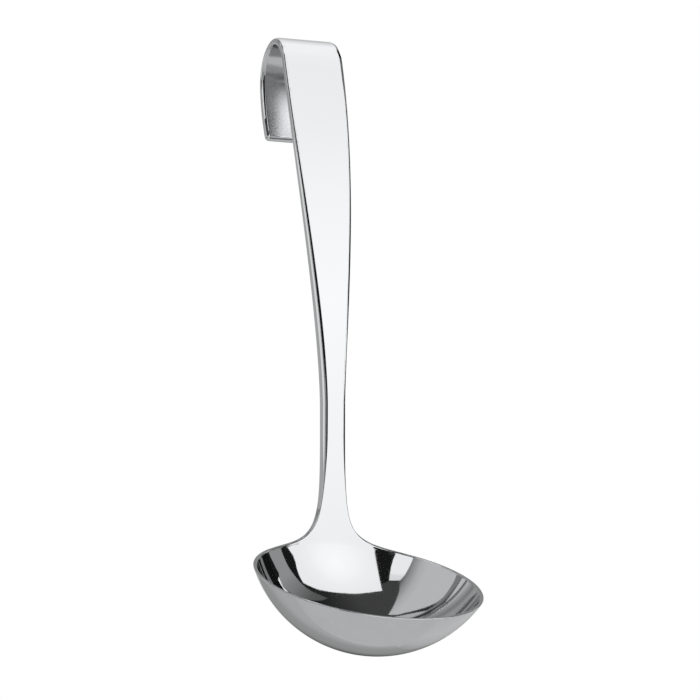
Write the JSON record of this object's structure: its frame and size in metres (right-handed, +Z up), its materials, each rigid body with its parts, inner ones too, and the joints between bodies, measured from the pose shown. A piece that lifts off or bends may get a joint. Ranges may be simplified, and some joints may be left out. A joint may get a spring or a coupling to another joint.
{
  "type": "sauce ladle",
  "caption": "Sauce ladle with a round bowl, a thick narrow neck and an upright handle that widens upwards and bends over into a hanging hook.",
  "frame": {"origin": "the seat of the hook, the highest point inside its crown, where the ladle hangs", "axes": "+Z up along the neck, -Y towards the bowl and the front of the handle, +Y towards the hook's return leg, X across, with X = 0 the plane of symmetry"},
  "size_m": [0.0656, 0.0973, 0.1912],
  "materials": {
    "polished_steel": "mirror-polished stainless steel"
  },
  "bodies": {
    "root": {"bowl": "polished_steel", "handle": "polished_steel"}
  },
  "joints": []
}
